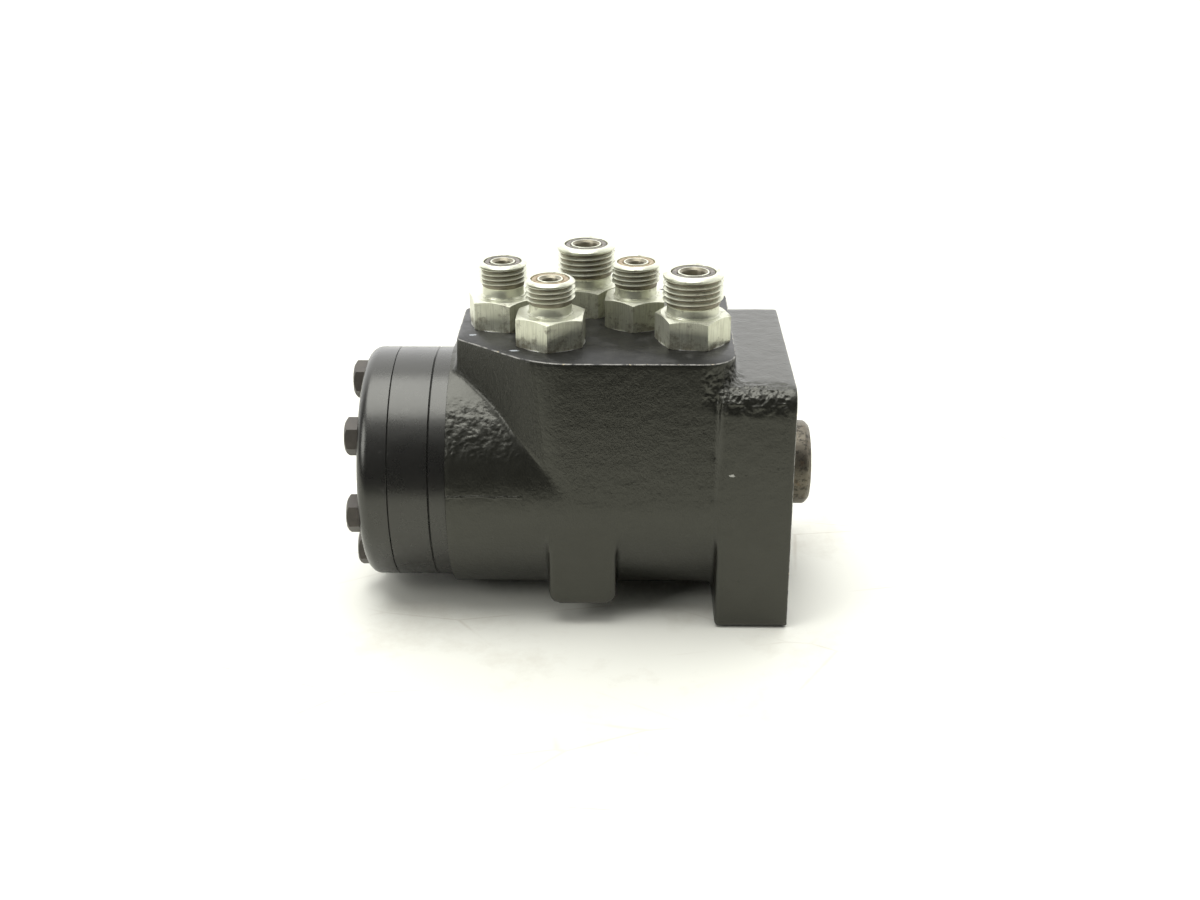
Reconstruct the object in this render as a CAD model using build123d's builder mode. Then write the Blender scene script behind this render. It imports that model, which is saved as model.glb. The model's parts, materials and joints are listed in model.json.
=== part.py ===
from build123d import *
from math import cos, hypot, pi, radians, sin, sqrt, tan
import os

os.makedirs("parts", exist_ok=True)

# The shaft axis is X. The mounting face is at x = 0 and the unit reaches back along -X,
# with its ports up (+Z). All sizes are in millimetres and degrees.

# --- driving sizes: casting ---
flange_width = 75.0
flange_thickness = 21.5
flange_corner = 3.0
flange_worn_corner = 6.0
flange_back_edge = 1.2
barrel_diameter = 74.0
housing_length = 99.5
boss_top = 44.5
boss_draft = 2.0
boss_front_corner = 9.0
boss_rear_gap = 2.5
boss_left_front = 14.0
boss_slant_length = 24.4
boss_depth = 35.0
boss_right = 16.7
lug_setback = 2.8
lug_width = 19.2
lug_bottom = 30.3
lug_corner = 3.0
mount_spacing = 58.4
mount_thread_radius = 3.97
mount_thread_depth = 16.0

# --- driving sizes: gear set ---
gear_set_diameter = 70.0
plate_thickness = 5.2
ring_thickness = 11.9
cover_thickness = 9.0
cover_edge = 2.6
disc_edge = 0.3
lobes = 7
lobe_circle_radius = 20.5
lobe_radius = 5.0
eccentricity = 1.8
cavity_corner = 0.8
gear_side_gap = 0.03
mesh_gap = 0.04
bolt_circle_radius = 26.6
bolt_radius = 3.0
bolt_grip = 11.0
bolt_hole_spare = 1.0
bolt_hole_gap = 0.3
bolt_head_flats = 10.0
bolt_head_height = 4.0
bolt_head_turn = 12.0
seal_groove_radius = 21.4
seal_groove_width = 2.0
seal_groove_depth = 1.4

# --- driving sizes: valve ---
spool_radius = 12.8
spool_reach = 8.1
spool_edge = 1.5
sleeve_radius = 16.0
sleeve_neck_radius = 15.0
valve_gap = 0.02
valve_end_gap = 0.3
static_gap = 0.02
loose_gap = 0.3
spline_teeth = 12
socket_major_radius = 8.4
socket_minor_radius = 7.2
socket_depth = 20.0
lost_motion = 8.0
pin_radius = 3.5
pin_depth = 40.0
spring_depth = 19.5
spring_width = 6.4
spring_margin = 1.0
leaf_thickness = 0.45
leaf_bow = 1.1
cardan_bore_radius = 8.4
metering_slots = 6
metering_slot_width = 3.0
metering_slot_depth = 1.2
port_row_hole_radius = 1.25
port_row_angle = 45.0
groove_width = 4.4
groove_radius = 18.6
commutation_radius = 18.2
commutation_hole_radius = 1.4
commutation_setback = 6.5

# --- driving sizes: front seals and thrust bearing ---
dust_seal_radius = 16.5
dust_seal_depth = 4.5
web_thickness = 3.5
shaft_seal_radius = 15.0
shaft_seal_width = 4.0
lip_gap = 0.05
race_thickness = 1.0
needle_diameter = 2.0
needle_count = 12
needle_sides = 8
race_inner_radius = 13.1

# --- driving sizes: cardan shaft and rotor ---
fork_radius = 7.4
fork_tail = 5.5
fork_length = 8.0
fork_edge = 1.0
cardan_shaft_radius = 5.0
cardan_root_radius = 6.3
cardan_tip_radius = 7.4
cardan_tooth_width = 1.9
cardan_head_length = 8.4
spline_gap = 0.35
spacer_radius = 6.2
spacer_thickness = 2.6
plate_bore_radius = 9.0

# --- driving sizes: hose adapters and their ports ---
# share of the housing length and distance added to it, body y,
# direction of one hex corner from the front, size, port size
adapter_places = {
    "adapter_left_small": (1.0, -15.3, 1.5, 13.0, "small", "medium_port"),
    "adapter_front_small": (0.8, -10.2, -15.6, -3.0, "small", "medium_port"),
    "adapter_back_large": (0.4, 20.2, 14.6, 20.0, "large", "medium_port"),
    "adapter_middle_small": (0.4, 5.2, 1.3, -5.0, "sensing", "small_port"),
    "adapter_front_large": (0.2, 8.8, -13.8, 21.5, "large", "medium_port"),
}
# hex flats, hex height, neck radius, neck height, thread radius, thread height,
# bore radius, face groove radius
adapter_sizes = {
    "small": (19.05, 8.8, 6.1, 1.8, 7.145, 8.2, 2.2, 4.72),
    "sensing": (17.46, 8.8, 6.1, 1.8, 7.145, 8.2, 2.2, 4.72),
    "large": (19.05, 9.2, 7.5, 2.2, 8.73, 9.0, 3.3, 5.5),
}
# stud radius, stud length, port depth, port mouth radius, port passage radius
port_sizes = {
    "small_port": (5.1, 9.2, 11.5, 6.4, 1.9),
    "medium_port": (6.5, 9.9, 12.7, 7.8, 2.3),
}
mouth_depth = 2.2
thread_gap = 0.05
face_groove_width = 2.0
face_groove_depth = 1.35
hex_corner_cut = 0.97
hex_corner_slope = 30.0
check_port = "adapter_back_large"
check_ball_radius = 2.9
check_ball_travel = 1.0
check_bore_radius = 5.0
check_bush_thickness = 2.2
check_bush_bore_radius = 1.8

# --- places worked out from the sizes ---
barrel_radius = barrel_diameter / 2
disc_radius = gear_set_diameter / 2
main_bore_radius = sleeve_radius + valve_gap
housing_end = -housing_length
plate_end = housing_end - plate_thickness
ring_end = plate_end - ring_thickness
cover_end = ring_end - cover_thickness
bearing_start = -(dust_seal_depth + web_thickness + shaft_seal_width)
bearing_width = 2 * race_thickness + needle_diameter + 2 * valve_gap
sleeve_start = bearing_start - bearing_width
valve_end = housing_end + valve_end_gap
race_outer_radius = sleeve_radius - static_gap
lobe_pitch = 360 / lobes
up = 90
pin_x = -pin_depth
rotor_x = plate_end - ring_thickness / 2
cardan_reach = hypot(rotor_x - pin_x, eccentricity)
spring_start = -spring_depth
commutation_depth = housing_length - commutation_setback
boss_left = housing_length - boss_rear_gap
boss_slant_end = boss_left - boss_slant_length
lug_left = boss_slant_end - lug_setback
lug_right = lug_left - lug_width
adapters = {
    name: (-(share * housing_length + added), *rest)
    for name, (share, added, *rest) in adapter_places.items()
}
port_xs = [place[0] for place in adapters.values()]


def across(x):
    """Plane square to the shaft at station x, with +Y right and +Z up."""
    return Plane.YZ.offset(x)


def band(x_low, x_high, r_low, r_high):
    """Rectangle of a half section between two stations and two radii."""
    with Locations(((x_low + x_high) / 2, (r_low + r_high) / 2)):
        Rectangle(abs(x_high - x_low), abs(r_high - r_low))


def upright(x, y, z):
    """Half section plane of a piece that turns about a vertical line."""
    return Plane(origin=(x, y, z), x_dir=(1, 0, 0), z_dir=(0, -1, 0))


def vertical(x, y):
    return Axis((x, y, 0), (0, 0, 1))


def spline_profile(core_radius, tip_radius, tooth_width):
    """Round core with straight-sided teeth standing on it."""
    Circle(core_radius)
    with PolarLocations(tip_radius / 2, spline_teeth):
        Rectangle(tip_radius, tooth_width)


# --- housing ---
flare = boss_top * tan(radians(boss_draft))
flange_half = flange_width / 2

with BuildPart() as housing:
    with BuildSketch(across(-flange_thickness)):
        Rectangle(flange_width, flange_width)
        corners = vertices().sort_by(Axis.Y)
        bottom, top = corners[:2], corners[2:].sort_by(Axis.X)
        fillet([*bottom, top[1]], radius=flange_corner)
        fillet(vertices().sort_by_distance((-flange_half, flange_half))[0], radius=flange_worn_corner)
    extrude(amount=flange_thickness)
    chamfer(faces().sort_by(Axis.X)[0].edges(), length=flange_back_edge)
    chamfer(faces().sort_by(Axis.X)[-1].edges(), length=disc_edge)
    with BuildSketch(across(housing_end)):
        Circle(barrel_radius)
    extrude(amount=housing_length - flange_thickness / 2)
    with BuildSketch(Plane.XY):
        with BuildLine():
            Polyline(
                (-boss_left, -boss_left_front),
                (-boss_slant_end, -boss_depth),
                (-boss_right, -boss_depth),
                (-boss_right, boss_depth),
                (-boss_slant_end, boss_depth),
                (-boss_left, boss_left_front),
                close=True,
            )
        make_face()
        fillet(vertices().group_by(Axis.X)[1:], radius=boss_front_corner)
        offset(amount=flare, kind=Kind.INTERSECTION)
    extrude(amount=boss_top, taper=boss_draft)
    with BuildSketch(Plane.XZ.offset(boss_depth + flare)):
        with Locations((-(lug_left + lug_right) / 2, -lug_bottom / 2)):
            Rectangle(lug_left - lug_right, lug_bottom)
        fillet(vertices().group_by(Axis.Y)[0], radius=lug_corner)
    extrude(amount=-(boss_depth + flare))
    # stepped bore for the seals, the bearing and the valve
    with BuildSketch(Plane.XZ):
        band(-dust_seal_depth, 0, 0, dust_seal_radius)
        band(bearing_start, 0, 0, spool_radius + loose_gap)
        band(bearing_start, bearing_start + shaft_seal_width, 0, shaft_seal_radius)
        band(housing_end, bearing_start, 0, main_bore_radius)
        for port_x in port_xs:
            band(port_x - groove_width / 2, port_x + groove_width / 2, 0, groove_radius)
    revolve(axis=Axis.X, mode=Mode.SUBTRACT)
    # cover bolt threads and seal groove in the rear face
    with BuildSketch(across(housing_end)):
        with PolarLocations(bolt_circle_radius, lobes, start_angle=up):
            Circle(bolt_radius + thread_gap)
    extrude(amount=bolt_grip + bolt_hole_spare, mode=Mode.SUBTRACT)
    with BuildSketch(across(housing_end)):
        Circle(seal_groove_radius + seal_groove_width / 2)
        Circle(seal_groove_radius - seal_groove_width / 2, mode=Mode.SUBTRACT)
    extrude(amount=seal_groove_depth, mode=Mode.SUBTRACT)
    # drillings from the rear face to the valve, one for each gear chamber
    with BuildSketch(across(housing_end)):
        with PolarLocations(commutation_radius, lobes, start_angle=up + lobe_pitch / 2):
            Circle(commutation_hole_radius)
    extrude(
        amount=housing_length - commutation_depth + 2 * commutation_hole_radius,
        mode=Mode.SUBTRACT,
    )
    with BuildSketch(across(-commutation_depth + port_row_hole_radius)):
        with PolarLocations(commutation_radius / 2, lobes, start_angle=up + lobe_pitch / 2):
            Rectangle(commutation_radius, 2 * port_row_hole_radius)
    extrude(amount=-2 * port_row_hole_radius, mode=Mode.SUBTRACT)
    # ports: mouth for the seal, thread, and passage down to the valve groove
    for name, (x, y, corner, size, port) in adapters.items():
        stud_radius, stud_length, port_depth, mouth_radius, passage_radius = port_sizes[port]
        passage_floor = sqrt(groove_radius**2 - y**2) - commutation_hole_radius
        with BuildSketch(upright(x, y, boss_top)):
            band(0, mouth_radius, -mouth_depth, 0)
            band(0, stud_radius + thread_gap, -port_depth, 0)
            band(0, passage_radius, passage_floor - boss_top, 0)
        revolve(axis=vertical(x, y), mode=Mode.SUBTRACT)
    check_x, check_y, _, _, check_size = adapters[check_port]
    bush_radius, _, check_port_depth, _, seat_radius = port_sizes[check_size]
    ball_over_seat = sqrt(check_ball_radius**2 - seat_radius**2)
    bush_floor = boss_top - check_port_depth
    check_seat_z = bush_floor - check_ball_travel - check_ball_radius - ball_over_seat
    with BuildSketch(Plane.XY.offset(check_seat_z)):
        with Locations((check_x, check_y)):
            Circle(check_bore_radius)
    extrude(amount=boss_top - check_seat_z, mode=Mode.SUBTRACT)
    # mounting threads in the front face
    with BuildSketch(across(0)):
        with GridLocations(mount_spacing, mount_spacing, 2, 2):
            Circle(mount_thread_radius)
    extrude(amount=-mount_thread_depth, mode=Mode.SUBTRACT)
housing.part.label = "housing"
export_step(housing.part, "parts/housing.step")


def bolt_clearance_holes(x, thickness):
    """Holes for the cover bolts through a disc that starts at x and reaches back."""
    with BuildSketch(across(x)) as holes:
        with PolarLocations(bolt_circle_radius, lobes, start_angle=up):
            Circle(bolt_radius + bolt_hole_gap)
    extrude(holes.sketch, amount=-thickness, mode=Mode.SUBTRACT)


def face_groove(x):
    """Seal groove cut forward from station x."""
    with BuildSketch(across(x)) as groove:
        Circle(seal_groove_radius + seal_groove_width / 2)
        Circle(seal_groove_radius - seal_groove_width / 2, mode=Mode.SUBTRACT)
    extrude(groove.sketch, amount=seal_groove_depth, mode=Mode.SUBTRACT)


# --- distributor plate ---
with BuildPart() as distributor_plate:
    with BuildSketch(across(housing_end)):
        Circle(disc_radius)
    extrude(amount=-plate_thickness)
    chamfer(edges().filter_by(GeomType.CIRCLE), length=disc_edge)
    with BuildSketch(across(housing_end)):
        Circle(plate_bore_radius)
        with PolarLocations(commutation_radius, lobes, start_angle=up + lobe_pitch / 2):
            Circle(commutation_hole_radius)
    extrude(amount=-plate_thickness, mode=Mode.SUBTRACT)
    bolt_clearance_holes(housing_end, plate_thickness)
    face_groove(plate_end)
distributor_plate.part.label = "distributor_plate"
export_step(distributor_plate.part, "parts/distributor_plate.step")

# --- gerotor ring: cavity left between seven round lobes ---
cavity_radius = lobe_circle_radius + 2 * eccentricity - lobe_radius + 2 * mesh_gap

with BuildPart() as gerotor_ring:
    with BuildSketch(across(plate_end)):
        Circle(disc_radius)
    extrude(amount=-ring_thickness)
    chamfer(edges().filter_by(GeomType.CIRCLE), length=disc_edge)
    with BuildSketch(across(plate_end)):
        Circle(cavity_radius)
        with PolarLocations(lobe_circle_radius, lobes, start_angle=up):
            Circle(lobe_radius, mode=Mode.SUBTRACT)
        fillet(vertices(), radius=cavity_corner)
    extrude(amount=-ring_thickness, mode=Mode.SUBTRACT)
    bolt_clearance_holes(plate_end, ring_thickness)
    face_groove(ring_end)
gerotor_ring.part.label = "gerotor_ring"
export_step(gerotor_ring.part, "parts/gerotor_ring.step")

# --- end cover ---
with BuildPart() as end_cover:
    with BuildSketch(across(ring_end)):
        Circle(disc_radius)
    extrude(amount=-cover_thickness)
    fillet(faces().sort_by(Axis.X)[0].edges(), radius=cover_edge)
    chamfer(faces().sort_by(Axis.X)[-1].edges(), length=disc_edge)
    bolt_clearance_holes(ring_end, cover_thickness)
end_cover.part.label = "end_cover"
export_step(end_cover.part, "parts/end_cover.step")

# --- cover bolts ---
bolt_head_corner = bolt_head_flats / sqrt(3)
bolt_length = cover_thickness + ring_thickness + plate_thickness + bolt_grip

with BuildPart() as cover_bolts:
    with BuildSketch(across(cover_end)):
        with PolarLocations(bolt_circle_radius, lobes, start_angle=up):
            RegularPolygon(bolt_head_corner, 6, rotation=bolt_head_turn)
    extrude(amount=-bolt_head_height)
    chamfer(faces().group_by(Axis.X)[0].edges(), length=disc_edge)
    with BuildSketch(across(cover_end)):
        with PolarLocations(bolt_circle_radius, lobes, start_angle=up):
            Circle(bolt_radius)
    extrude(amount=bolt_length)
cover_bolts.part.label = "cover_bolts"
export_step(cover_bolts.part, "parts/cover_bolts.step")


# --- seal rings between the discs ---
def gasket_ring(name, x):
    """Squeezed ring that fills the depth of the groove cut forward from station x."""
    with BuildPart() as ring:
        with BuildSketch(Plane.XZ):
            band(
                x,
                x + seal_groove_depth,
                seal_groove_radius - seal_groove_width / 2 + loose_gap,
                seal_groove_radius + seal_groove_width / 2 - loose_gap,
            )
        revolve(axis=Axis.X)
    ring.part.label = name
    export_step(ring.part, f"parts/{name}.step")


gasket_ring("housing_seal_ring", housing_end)
gasket_ring("plate_seal_ring", plate_end)
gasket_ring("cover_seal_ring", ring_end)

# --- rotor: the curve that seven round lobes leave round six teeth ---
teeth = lobes - 1
flank_points = 12 * teeth
root_crowding = 0.7
rotor_thickness = ring_thickness - 2 * gear_side_gap


def rotor_outline():
    """Points of the rotor's outline, a fixed distance inside the path of the lobe centres.

    They stand closer together in the roots, where the outline bends most."""
    points = []
    for i in range(flank_points):
        even = 2 * pi * i / flank_points
        t = even - root_crowding * sin(teeth * even) / teeth
        path = (
            lobe_circle_radius * cos(t) - eccentricity * cos(lobes * t),
            lobe_circle_radius * sin(t) - eccentricity * sin(lobes * t),
        )
        run = (
            -lobe_circle_radius * sin(t) + lobes * eccentricity * sin(lobes * t),
            lobe_circle_radius * cos(t) - lobes * eccentricity * cos(lobes * t),
        )
        inset = (lobe_radius + mesh_gap) / hypot(*run)
        points.append((path[0] - run[1] * inset, path[1] + run[0] * inset))
    return points


rotor_plane = Plane(
    origin=(plate_end - gear_side_gap, 0, eccentricity), x_dir=(0, 0, 1), z_dir=(-1, 0, 0)
)

with BuildPart() as rotor:
    with BuildSketch(rotor_plane):
        with BuildLine():
            outline = rotor_outline()
            for start, middle, end in zip(outline[::2], outline[1::2], outline[2::2] + outline[:1]):
                ThreePointArc(start, middle, end)
        make_face()
    extrude(amount=rotor_thickness)
    with BuildSketch(rotor_plane):
        spline_profile(
            cardan_root_radius + spline_gap,
            cardan_tip_radius + spline_gap,
            cardan_tooth_width + 2 * spline_gap,
        )
    extrude(amount=rotor_thickness, mode=Mode.SUBTRACT)
rotor.part.label = "rotor"
export_step(rotor.part, "parts/rotor.step")

# --- cardan shaft: fork over the cross pin, splined head in the rotor ---
cardan_plane = Plane(
    origin=(pin_x, 0, 0), x_dir=(0, 1, 0), z_dir=(rotor_x - pin_x, 0, eccentricity)
)
head_start = cardan_reach - cardan_head_length / 2 - spacer_thickness / 2

with BuildPart() as cardan_shaft:
    with BuildSketch(cardan_plane.offset(-fork_tail)):
        Circle(fork_radius)
    extrude(amount=fork_tail + fork_length)
    chamfer(edges().filter_by(GeomType.CIRCLE), length=fork_edge)
    with BuildSketch(cardan_plane):
        Circle(cardan_shaft_radius)
    extrude(amount=head_start)
    with BuildSketch(cardan_plane.offset(head_start)):
        spline_profile(cardan_root_radius, cardan_tip_radius, cardan_tooth_width)
    extrude(amount=cardan_head_length)
    # open slot that slips over the cross pin
    with BuildSketch(cardan_plane.offset(-fork_tail)):
        Rectangle(2 * fork_radius, 2 * (pin_radius + loose_gap))
    extrude(amount=fork_tail, mode=Mode.SUBTRACT)
    with Locations(cardan_plane):
        Cylinder(
            pin_radius + loose_gap, 2 * fork_radius, rotation=(0, 90, 0), mode=Mode.SUBTRACT
        )
cardan_shaft.part.label = "cardan_shaft"
export_step(cardan_shaft.part, "parts/cardan_shaft.step")

# --- spacer disc behind the cardan head ---
spacer_plane = Plane(
    origin=(ring_end + gear_side_gap, 0, eccentricity), x_dir=(0, 1, 0), z_dir=(1, 0, 0)
)

with BuildPart() as cardan_spacer:
    with BuildSketch(spacer_plane):
        Circle(spacer_radius)
    extrude(amount=spacer_thickness)
    chamfer(edges().filter_by(GeomType.CIRCLE), length=disc_edge)
cardan_spacer.part.label = "cardan_spacer"
export_step(cardan_spacer.part, "parts/cardan_spacer.step")

# --- spool ---
window_radius = pin_radius + spool_radius * sin(radians(lost_motion)) + loose_gap
spring_pack = 2 * (leaf_bow + 2 * (leaf_thickness + static_gap) + static_gap)
spool_slot = spring_pack + 2 * spool_radius * sin(radians(lost_motion)) + loose_gap
cardan_bore_end = pin_x + fork_tail + 2 * loose_gap
metering_start = pin_x - 2 * pin_radius - groove_width

with BuildPart() as spool:
    with BuildSketch(Plane.XZ):
        band(valve_end, spool_reach, 0, spool_radius)
        band(valve_end, cardan_bore_end, 0, cardan_bore_radius)
    revolve(axis=Axis.X)
    with BuildSketch(across(valve_end)):
        Circle(cardan_bore_radius)
    extrude(amount=cardan_bore_end - valve_end, mode=Mode.SUBTRACT)
    chamfer(faces().sort_by(Axis.X)[-1].edges(), length=spool_edge)
    # internal spline for the steering column
    with BuildSketch(across(spool_reach)):
        spline_profile(socket_minor_radius, socket_major_radius, cardan_tooth_width)
    extrude(amount=-socket_depth, mode=Mode.SUBTRACT)
    # window for the cross pin, wide enough for the lost motion
    with Locations(Plane.XZ):
        with Locations((pin_x, 0)):
            Cylinder(window_radius, 2 * spool_radius, mode=Mode.SUBTRACT)
    # slot for the leaf springs
    with BuildSketch(across(spring_start)):
        Rectangle(spool_slot, 2 * spool_radius)
    extrude(amount=-spring_width, mode=Mode.SUBTRACT)
    # metering slots
    with BuildSketch(across(metering_start)):
        with PolarLocations(spool_radius, metering_slots):
            Rectangle(2 * metering_slot_depth, metering_slot_width)
    extrude(amount=-(commutation_depth + metering_start), mode=Mode.SUBTRACT)
spool.part.label = "spool"
export_step(spool.part, "parts/spool.step")

# --- sleeve ---
sleeve_neck_end = spring_start - spring_width - spring_margin
sleeve_mid = (sleeve_radius + spool_radius) / 2

with BuildPart() as sleeve:
    with BuildSketch(Plane.XZ):
        band(valve_end, sleeve_neck_end, spool_radius + valve_gap, sleeve_radius)
        band(sleeve_neck_end, sleeve_start, spool_radius + valve_gap, sleeve_neck_radius)
    revolve(axis=Axis.X)
    with Locations(Plane.XZ):
        with Locations((pin_x, 0)):
            Cylinder(pin_radius + static_gap, 2 * sleeve_radius, mode=Mode.SUBTRACT)
    with BuildSketch(across(spring_start)):
        Rectangle(spring_pack, 2 * sleeve_radius)
    extrude(amount=-spring_width, mode=Mode.SUBTRACT)
    # a port at each housing groove, and a row at the commutation drillings
    for port_x in port_xs:
        with Locations(across(port_x)):
            with PolarLocations(sleeve_mid, 1, start_angle=port_row_angle):
                Cylinder(port_row_hole_radius, sleeve_mid, rotation=(0, 90, 0), mode=Mode.SUBTRACT)
    with Locations(across(-commutation_depth)):
        with PolarLocations(sleeve_mid, teeth):
            Cylinder(port_row_hole_radius, sleeve_mid, rotation=(0, 90, 0), mode=Mode.SUBTRACT)
sleeve.part.label = "sleeve"
export_step(sleeve.part, "parts/sleeve.step")

# --- cross pin ---
with BuildPart() as cross_pin:
    with BuildSketch(Plane.XZ.offset(-(sleeve_radius - loose_gap))):
        with Locations((pin_x, 0)):
            Circle(pin_radius)
    extrude(amount=2 * (sleeve_radius - loose_gap))
    chamfer(edges().filter_by(GeomType.CIRCLE), length=disc_edge)
cross_pin.part.label = "cross_pin"
export_step(cross_pin.part, "parts/cross_pin.step")

# --- centring springs: two leaves bowed each way ---
leaf_half = sleeve_neck_radius - loose_gap

with BuildPart() as centring_springs:
    for side in (1, -1):
        for layer in (0, 1):
            with BuildSketch(across(spring_start)):
                with BuildLine():
                    inner = side * (static_gap + layer * (leaf_thickness + static_gap))
                    outer = inner + side * leaf_thickness
                    bow = side * leaf_bow
                    ThreePointArc((inner + bow, -leaf_half), (inner, 0), (inner + bow, leaf_half))
                    Line((inner + bow, leaf_half), (outer + bow, leaf_half))
                    ThreePointArc((outer + bow, leaf_half), (outer, 0), (outer + bow, -leaf_half))
                    Line((outer + bow, -leaf_half), (inner + bow, -leaf_half))
                make_face()
            extrude(amount=-spring_width)
centring_springs.part.label = "centring_springs"
export_step(centring_springs.part, "parts/centring_springs.step")

# --- retaining ring round the springs ---
with BuildPart() as retaining_ring:
    with BuildSketch(Plane.XZ):
        band(
            sleeve_neck_end + static_gap,
            spring_start + spring_margin,
            sleeve_neck_radius + static_gap,
            sleeve_radius - 2 * valve_gap,
        )
    revolve(axis=Axis.X)
retaining_ring.part.label = "retaining_ring"
export_step(retaining_ring.part, "parts/retaining_ring.step")

# --- thrust bearing ---
needle_x = bearing_start - race_thickness - valve_gap - needle_diameter / 2


def bearing_race(name, x):
    with BuildPart() as race:
        with BuildSketch(Plane.XZ):
            band(x - race_thickness, x, race_inner_radius, race_outer_radius)
        revolve(axis=Axis.X)
    race.part.label = name
    export_step(race.part, f"parts/{name}.step")


bearing_race("bearing_race_front", bearing_start)
bearing_race("bearing_race_rear", sleeve_start + race_thickness)

needle_length = race_outer_radius - race_inner_radius - 4 * disc_edge
needle_mid = (race_outer_radius + race_inner_radius) / 2
needle_start = needle_mid - needle_length / 2

with BuildPart() as bearing_cage:
    with BuildSketch(Plane.XZ):
        band(
            needle_x - needle_diameter / 4,
            needle_x + needle_diameter / 4,
            race_inner_radius,
            race_outer_radius - static_gap,
        )
    revolve(axis=Axis.X)
    with BuildSketch(across(needle_x)):
        with PolarLocations(needle_mid, needle_count):
            Rectangle(needle_length + 2 * valve_gap, needle_diameter + 2 * valve_gap)
    extrude(amount=needle_diameter / 2, both=True, mode=Mode.SUBTRACT)
bearing_cage.part.label = "bearing_cage"
export_step(bearing_cage.part, "parts/bearing_cage.step")

with BuildPart() as bearing_needles:
    with BuildSketch(Plane.XZ.offset(needle_start)):
        with Locations((needle_x, 0)):
            RegularPolygon(needle_diameter / 2, needle_sides)
    needle = extrude(amount=needle_length)
    for i in range(1, needle_count):
        add(needle.rotate(Axis.X, i * 360 / needle_count))
bearing_needles.part.label = "bearing_needles"
export_step(bearing_needles.part, "parts/bearing_needles.step")

# --- seals at the input end ---
lip_radius = spool_radius + lip_gap
lip_width = 0.8


def lip_seal(name, x, width, outer_radius):
    """Ring whose front lip bears on the spool."""
    with BuildPart() as seal:
        with BuildSketch(Plane.XZ):
            band(x - width, x, spool_radius + loose_gap, outer_radius)
            band(x - lip_width, x, lip_radius, outer_radius)
        revolve(axis=Axis.X)
    seal.part.label = name
    export_step(seal.part, f"parts/{name}.step")


lip_seal("dust_seal", -static_gap, dust_seal_depth - static_gap, dust_seal_radius - static_gap)
lip_seal(
    "shaft_seal",
    bearing_start + shaft_seal_width,
    shaft_seal_width - static_gap,
    shaft_seal_radius - static_gap,
)


# --- hose adapters ---
def hose_adapter(name, x, y, corner, size, port):
    """Face-seal adapter: stud below the hex, neck, thread and face groove above it."""
    (
        flats, hex_height, neck_radius, neck_height,
        thread_radius, thread_height, bore_radius, groove_mid,
    ) = size
    stud_radius, stud_length, *_ = port
    corner_radius = flats / sqrt(3)
    face_radius = flats / 2 * hex_corner_cut
    slope = (corner_radius - face_radius) * tan(radians(hex_corner_slope))
    neck_top = hex_height + neck_height
    face_z = neck_top + thread_height
    lead = thread_radius - neck_radius
    turn = radians(corner)
    seat = Plane(origin=(x, y, boss_top), x_dir=(sin(turn), -cos(turn), 0), z_dir=(0, 0, 1))
    section = upright(x, y, boss_top)
    with BuildPart() as adapter:
        with BuildSketch(seat):
            RegularPolygon(corner_radius, 6)
        extrude(amount=hex_height)
        with BuildSketch(section):
            with BuildLine():
                Polyline(
                    (0, 0),
                    (face_radius, 0),
                    (corner_radius, slope),
                    (corner_radius, hex_height - slope),
                    (face_radius, hex_height),
                    (0, hex_height),
                    close=True,
                )
            make_face()
        revolve(axis=vertical(x, y), mode=Mode.INTERSECT)
        with BuildSketch(section):
            with BuildLine():
                Polyline(
                    (0, -stud_length),
                    (stud_radius, -stud_length),
                    (stud_radius, hex_height),
                    (neck_radius, hex_height),
                    (neck_radius, neck_top - lead / 2),
                    (thread_radius, neck_top + lead / 2),
                    (thread_radius, face_z - lead / 2),
                    (thread_radius - lead / 2, face_z),
                    (0, face_z),
                    close=True,
                )
            make_face()
        revolve(axis=vertical(x, y))
        with BuildSketch(section):
            band(0, bore_radius, -stud_length, face_z)
            low, high = groove_mid - face_groove_width / 2, groove_mid + face_groove_width / 2
            band(low, high, face_z - face_groove_depth, face_z)
        revolve(axis=vertical(x, y), mode=Mode.SUBTRACT)
    adapter.part.label = name
    export_step(adapter.part, f"parts/{name}.step")


for name, (x, y, corner, size, port) in adapters.items():
    hose_adapter(name, x, y, corner, adapter_sizes[size], port_sizes[port])

with BuildPart() as face_seal_rings:
    for x, y, _, size, _ in adapters.values():
        _, hex_height, _, neck_height, _, thread_height, _, groove_mid = adapter_sizes[size]
        face_z = hex_height + neck_height + thread_height
        with BuildSketch(upright(x, y, boss_top)):
            half_width = face_groove_width / 2 - static_gap
            floor = face_z - face_groove_depth
            band(groove_mid - half_width, groove_mid + half_width, floor, face_z - thread_gap)
        revolve(axis=vertical(x, y))
face_seal_rings.part.label = "face_seal_rings"
export_step(face_seal_rings.part, "parts/face_seal_rings.step")

with BuildPart() as port_seal_rings:
    for x, y, _, _, port in adapters.values():
        stud_radius, _, _, mouth_radius, _ = port_sizes[port]
        with BuildSketch(upright(x, y, boss_top)):
            band(stud_radius + static_gap, mouth_radius - static_gap, -mouth_depth, 0)
        revolve(axis=vertical(x, y))
port_seal_rings.part.label = "port_seal_rings"
export_step(port_seal_rings.part, "parts/port_seal_rings.step")

# --- check valve under the pressure port ---
with BuildPart() as check_ball:
    with Locations((check_x, check_y, check_seat_z + ball_over_seat + static_gap)):
        Sphere(check_ball_radius)
check_ball.part.label = "check_ball"
export_step(check_ball.part, "parts/check_ball.step")

with BuildPart() as check_bush:
    with BuildSketch(Plane.XY.offset(bush_floor)):
        with Locations((check_x, check_y)):
            Circle(bush_radius - static_gap)
            RegularPolygon(check_bush_bore_radius, 6, mode=Mode.SUBTRACT)
    extrude(amount=check_bush_thickness)
check_bush.part.label = "check_bush"
export_step(check_bush.part, "parts/check_bush.step")
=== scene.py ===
import json
from math import cos, hypot, pi, radians, sin, sqrt, tan

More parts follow.
